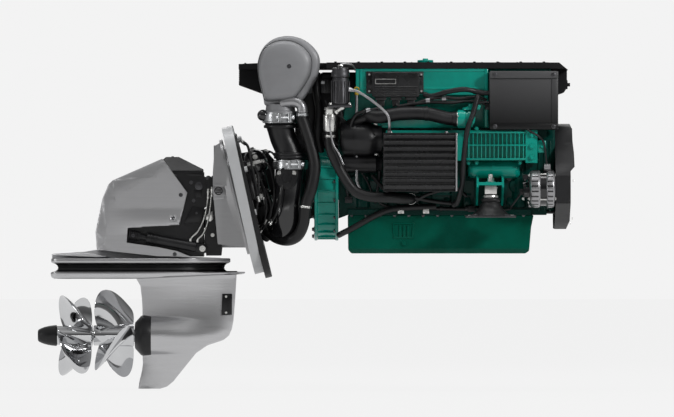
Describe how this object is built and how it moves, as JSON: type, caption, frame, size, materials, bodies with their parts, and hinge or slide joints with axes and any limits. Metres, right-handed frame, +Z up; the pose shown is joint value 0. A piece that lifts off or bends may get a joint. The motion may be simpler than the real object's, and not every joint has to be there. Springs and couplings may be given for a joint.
{
  "type": "stern drive with diesel engine",
  "caption": "Marine stern drive: steerable, tilting out-drive leg with contra-rotating propellers, raked transom shield, exhaust riser and green inboard diesel engine.",
  "frame": {"origin": "where the crankshaft axis crosses the outer face of the transom", "axes": "+X forward into the boat along the crankshaft, +Y to port, +Z up; the transom face leans 14 degrees aft"},
  "size_m": [2.138, 0.756, 1.407],
  "materials": {
    "cast_silver": "satin paint over casting",
    "cover_silver": "metallic satin",
    "polished_steel": "mirror polish",
    "shaft_steel": "turned",
    "satin_black": "satin",
    "moulded_black": "fine grain",
    "rubber": "matte",
    "engine_green": "gloss enamel",
    "riser_grey": "painted casting",
    "alloy": "bare casting",
    "yellow": "gloss"
  },
  "bodies": {
    "engine_and_shield": {"transom_shield": "cast_silver", "clamp_ring": "cast_silver", "transom_seal": "rubber", "swivel_pins": "shaft_steel", "pin_plugs": "moulded_black", "bellows_fore": "rubber", "trim_pump": "satin_black", "exhaust_elbow": "riser_grey", "exhaust_pipe": "satin_black", "exhaust_hose": "rubber", "cooling_hoses": "rubber", "hose_clamps": "polished_steel", "flywheel_housing": "engine_green", "cylinder_block": "engine_green", "oil_sump": "engine_green", "cylinder_head": "engine_green", "intake_manifold": "engine_green", "top_cover": "moulded_black", "belt_guard": "moulded_black", "drive_belt": "rubber", "alternator": "alloy", "control_unit": "moulded_black", "charge_cooler": "satin_black", "air_pipe": "rubber", "fuel_filter": "alloy", "service_cover": "satin_black", "mount_brackets": "engine_green", "mount_cushions": "satin_black", "dipstick_tube": "satin_black", "exhaust_manifold": "riser_grey", "heat_exchanger": "engine_green", "starter_motor": "satin_black"},
    "yoke": {"steering_yoke": "satin_black", "tilt_pins": "shaft_steel", "bellows_aft": "rubber", "trim_hoses": "polished_steel"},
    "leg": {"upper_gear_housing": "satin_black", "cover_starboard": "cover_silver", "cover_port": "cover_silver", "cover_top": "moulded_black", "drive_fasteners": "shaft_steel", "intermediate_housing": "cast_silver", "lower_gearcase": "cast_silver", "shaft_collar": "satin_black", "inlet_grilles": "satin_black"},
    "barrel_starboard": {"trim_barrel_starboard": "satin_black"},
    "barrel_port": {"trim_barrel_port": "satin_black"},
    "rod_starboard": {"trim_rod_starboard": "satin_black"},
    "rod_port": {"trim_rod_port": "satin_black"},
    "front_prop": {"front_propeller": "polished_steel", "outer_prop_shaft": "shaft_steel"},
    "rear_prop": {"rear_propeller": "polished_steel", "inner_prop_shaft": "shaft_steel", "nose_cone": "moulded_black"},
    "vertical": {"vertical_shaft": "shaft_steel"},
    "input": {"input_shaft": "shaft_steel"},
    "crank": {"crankshaft": "shaft_steel"},
    "rotor": {"alternator_rotor": "shaft_steel"},
    "pump": {"pump_pulley": "shaft_steel"},
    "stick": {"dipstick": "yellow"}
  },
  "joints": [
    {"name": "steering", "type": "hinge", "parent": "engine_and_shield", "child": "yoke", "pos_m": [-0.125, 0, 0], "axis": [0, 0, 1], "range_deg": [-25, 25], "deforming": ["bellows_fore"]},
    {"name": "tilt", "type": "hinge", "parent": "yoke", "child": "leg", "pos_m": [-0.125, 0, 0], "axis": [0, 1, 0], "range_deg": [-5, 40], "deforming": ["bellows_aft"]},
    {"name": "front_propeller_turn", "type": "hinge", "parent": "leg", "child": "front_prop", "pos_m": [-0.54, 0, -0.578], "axis": [1, 0, 0], "continuous": true},
    {"name": "rear_propeller_turn", "type": "hinge", "parent": "leg", "child": "rear_prop", "pos_m": [-0.7, 0, -0.578], "axis": [1, 0, 0], "continuous": true},
    {"name": "vertical_shaft_turn", "type": "hinge", "parent": "leg", "child": "vertical", "pos_m": [-0.29, 0, -0.2], "axis": [0, 0, 1], "continuous": true},
    {"name": "input_shaft_turn", "type": "hinge", "parent": "leg", "child": "input", "pos_m": [-0.2, 0, 0], "axis": [1, 0, 0], "continuous": true},
    {"name": "crankshaft_turn", "type": "hinge", "parent": "engine_and_shield", "child": "crank", "pos_m": [0.6, 0, 0], "axis": [1, 0, 0], "continuous": true},
    {"name": "alternator_turn", "type": "hinge", "parent": "engine_and_shield", "child": "rotor", "pos_m": [1.2, -0.236, 0.008], "axis": [1, 0, 0], "continuous": true},
    {"name": "pump_turn", "type": "hinge", "parent": "engine_and_shield", "child": "pump", "pos_m": [1.2, 0, 0.168], "axis": [1, 0, 0], "continuous": true},
    {"name": "dipstick_draw", "type": "slide", "parent": "engine_and_shield", "child": "stick", "axis": [0, 0, 1], "range_m": [0, 0.06]},
    {"name": "trim_swing_starboard", "type": "hinge", "parent": "yoke", "child": "barrel_starboard", "pos_m": [-0.19, -0.1115, -0.23], "axis": [0, 1, 0], "range_deg": [-4.52, 35.5], "deforming": ["trim_hoses"]},
    {"name": "trim_ram_starboard", "type": "slide", "parent": "barrel_starboard", "child": "rod_starboard", "axis": [-0.9827, 0, 0.1851], "range_m": [-0.0207, 0.1642]},
    {"name": "trim_swing_port", "type": "hinge", "parent": "yoke", "child": "barrel_port", "pos_m": [-0.19, 0.1115, -0.23], "axis": [0, 1, 0], "range_deg": [-4.52, 35.5]},
    {"name": "trim_ram_port", "type": "slide", "parent": "barrel_port", "child": "rod_port", "axis": [-0.9827, 0, 0.1851], "range_m": [-0.0207, 0.1642]}
  ],
  "couplings": [
    {"joint": "rear_propeller_turn", "follows": "front_propeller_turn", "ratio": -1},
    {"joint": "vertical_shaft_turn", "follows": "front_propeller_turn", "ratio": 1.3333},
    {"joint": "input_shaft_turn", "follows": "crankshaft_turn", "ratio": 1},
    {"joint": "alternator_turn", "follows": "crankshaft_turn", "ratio": 2.1875},
    {"joint": "pump_turn", "follows": "crankshaft_turn", "ratio": 1.3462},
    {"joint": "trim_swing_starboard", "follows": "tilt", "ratio": 0.885},
    {"joint": "trim_ram_starboard", "follows": "tilt", "m_per_rad": 0.23491},
    {"joint": "trim_swing_port", "follows": "tilt", "ratio": 0.885},
    {"joint": "trim_ram_port", "follows": "tilt", "m_per_rad": 0.23491}
  ]
}
